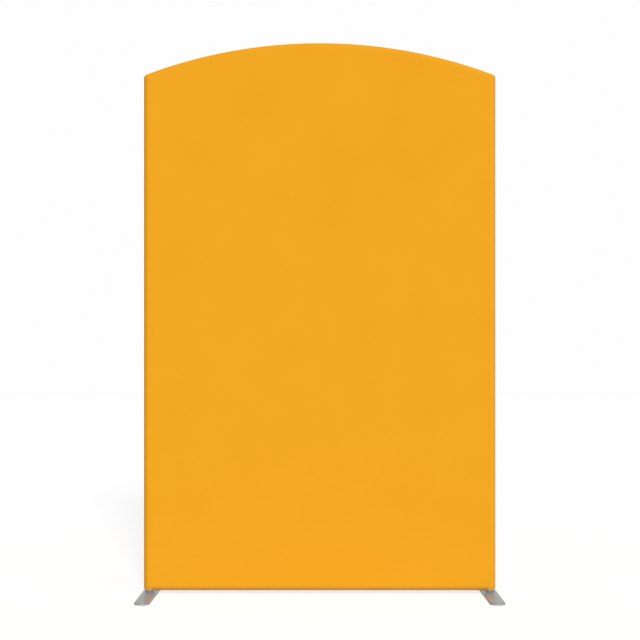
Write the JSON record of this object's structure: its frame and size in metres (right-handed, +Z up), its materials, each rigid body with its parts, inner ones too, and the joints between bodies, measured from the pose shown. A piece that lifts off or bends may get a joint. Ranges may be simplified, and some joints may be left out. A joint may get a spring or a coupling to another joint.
{
  "type": "welding curtain screen",
  "caption": "Free-standing arched screen: an opaque fabric sleeve stretched over a plug-together round-tube frame on two flat metal feet.",
  "frame": {"origin": "on the floor, in the middle of the screen's width and depth", "axes": "+Z up, +X along the width to the right seen from the front, -Y towards the front"},
  "size_m": [1.2162, 0.41, 1.884],
  "materials": {
    "sleeve_fabric": "matt stretch knit, amber orange",
    "zip_tape": "woven polyester tape",
    "zip_nylon": "nylon coil",
    "zip_metal": "zinc-plated",
    "frame_tube": "mill-finish extruded tube",
    "connector_nylon": "glass-filled nylon, fine grain",
    "button_steel": "nickel-plated",
    "spring_steel": "tempered strip",
    "foot_metal": "satin, softly reflective",
    "screw_steel": "zinc-plated",
    "pad_rubber": "matt black"
  },
  "bodies": {
    "frame": {"front_panel": "sleeve_fabric", "back_panel": "sleeve_fabric", "zip_tape_upper": "zip_tape", "zip_tape_lower": "zip_tape", "zip_chain": "zip_nylon", "zip_bottom_stop": "zip_metal", "zip_top_stop_upper": "zip_metal", "zip_top_stop_lower": "zip_metal", "left_post_lower": "frame_tube", "left_post_upper": "frame_tube", "right_post_lower": "frame_tube", "right_post_upper": "frame_tube", "left_arch_tube": "frame_tube", "right_arch_tube": "frame_tube", "left_rail_tube": "frame_tube", "right_rail_tube": "frame_tube", "crossbar": "frame_tube", "left_corner_connector": "connector_nylon", "right_corner_connector": "connector_nylon", "left_shoulder_connector": "connector_nylon", "right_shoulder_connector": "connector_nylon", "left_post_splice": "connector_nylon", "right_post_splice": "connector_nylon", "arch_splice": "connector_nylon", "rail_splice": "connector_nylon", "left_crossbar_plug": "connector_nylon", "right_crossbar_plug": "connector_nylon", "left_corner_spring": "spring_steel", "left_splice_spring": "spring_steel", "left_shoulder_spring": "spring_steel", "right_corner_spring": "spring_steel", "right_splice_spring": "spring_steel", "right_shoulder_spring": "spring_steel", "arch_spring": "spring_steel", "rail_spring": "spring_steel"},
    "left_corner_button": {"left_corner_button": "button_steel"},
    "left_splice_button": {"left_splice_button": "button_steel"},
    "left_shoulder_button": {"left_shoulder_button": "button_steel"},
    "right_corner_button": {"right_corner_button": "button_steel"},
    "right_splice_button": {"right_splice_button": "button_steel"},
    "right_shoulder_button": {"right_shoulder_button": "button_steel"},
    "arch_button": {"arch_button": "button_steel"},
    "rail_button": {"rail_button": "button_steel"},
    "left_foot": {"left_foot_plate": "foot_metal", "left_foot_post": "foot_metal", "left_foot_screw": "screw_steel", "left_front_pad": "pad_rubber", "left_rear_pad": "pad_rubber"},
    "right_foot": {"right_foot_plate": "foot_metal", "right_foot_post": "foot_metal", "right_foot_screw": "screw_steel", "right_front_pad": "pad_rubber", "right_rear_pad": "pad_rubber"},
    "zip_slider": {"zip_slider": "zip_metal"},
    "zip_pull": {"zip_pull": "zip_metal"}
  },
  "joints": [
    {"name": "left_corner_button_press", "type": "slide", "parent": "frame", "child": "left_corner_button", "axis": [-1, 0, 0], "range_m": [0, 0.0041], "stiffness_N_per_m": 1000, "springref_m": -0.005, "deforming": ["left_corner_spring"]},
    {"name": "left_splice_button_press", "type": "slide", "parent": "frame", "child": "left_splice_button", "axis": [-1, 0, 0], "range_m": [0, 0.0041], "stiffness_N_per_m": 1000, "springref_m": -0.005, "deforming": ["left_splice_spring"]},
    {"name": "left_shoulder_button_press", "type": "slide", "parent": "frame", "child": "left_shoulder_button", "axis": [-1, 0, 0], "range_m": [0, 0.0041], "stiffness_N_per_m": 1000, "springref_m": -0.005, "deforming": ["left_shoulder_spring"]},
    {"name": "right_corner_button_press", "type": "slide", "parent": "frame", "child": "right_corner_button", "axis": [1, 0, 0], "range_m": [0, 0.0041], "stiffness_N_per_m": 1000, "springref_m": -0.005, "deforming": ["right_corner_spring"]},
    {"name": "right_splice_button_press", "type": "slide", "parent": "frame", "child": "right_splice_button", "axis": [1, 0, 0], "range_m": [0, 0.0041], "stiffness_N_per_m": 1000, "springref_m": -0.005, "deforming": ["right_splice_spring"]},
    {"name": "right_shoulder_button_press", "type": "slide", "parent": "frame", "child": "right_shoulder_button", "axis": [1, 0, 0], "range_m": [0, 0.0041], "stiffness_N_per_m": 1000, "springref_m": -0.005, "deforming": ["right_shoulder_spring"]},
    {"name": "arch_button_press", "type": "slide", "parent": "frame", "child": "arch_button", "axis": [0.0165, 0, 0.9999], "range_m": [0, 0.0041], "stiffness_N_per_m": 1000, "springref_m": -0.005, "deforming": ["arch_spring"]},
    {"name": "rail_button_press", "type": "slide", "parent": "frame", "child": "rail_button", "axis": [0, 0, -1], "range_m": [0, 0.0041], "stiffness_N_per_m": 1000, "springref_m": -0.005, "deforming": ["rail_spring"]},
    {"name": "left_foot_swivel", "type": "hinge", "parent": "frame", "child": "left_foot", "pos_m": [-0.5814, 0, 0], "axis": [0, 0, 1], "range_deg": [-90, 90]},
    {"name": "right_foot_swivel", "type": "hinge", "parent": "frame", "child": "right_foot", "pos_m": [0.5814, 0, 0], "axis": [0, 0, 1], "range_deg": [-90, 90]},
    {"name": "zip_open", "type": "slide", "parent": "frame", "child": "zip_slider", "axis": [-1, 0, 0], "range_m": [0, 1.085], "deforming": ["zip_chain"]},
    {"name": "zip_pull_swing", "type": "hinge", "parent": "zip_slider", "child": "zip_pull", "pos_m": [0.5447, 0.02065, 0.058], "axis": [0, 0, -1], "range_deg": [0, 150]}
  ]
}
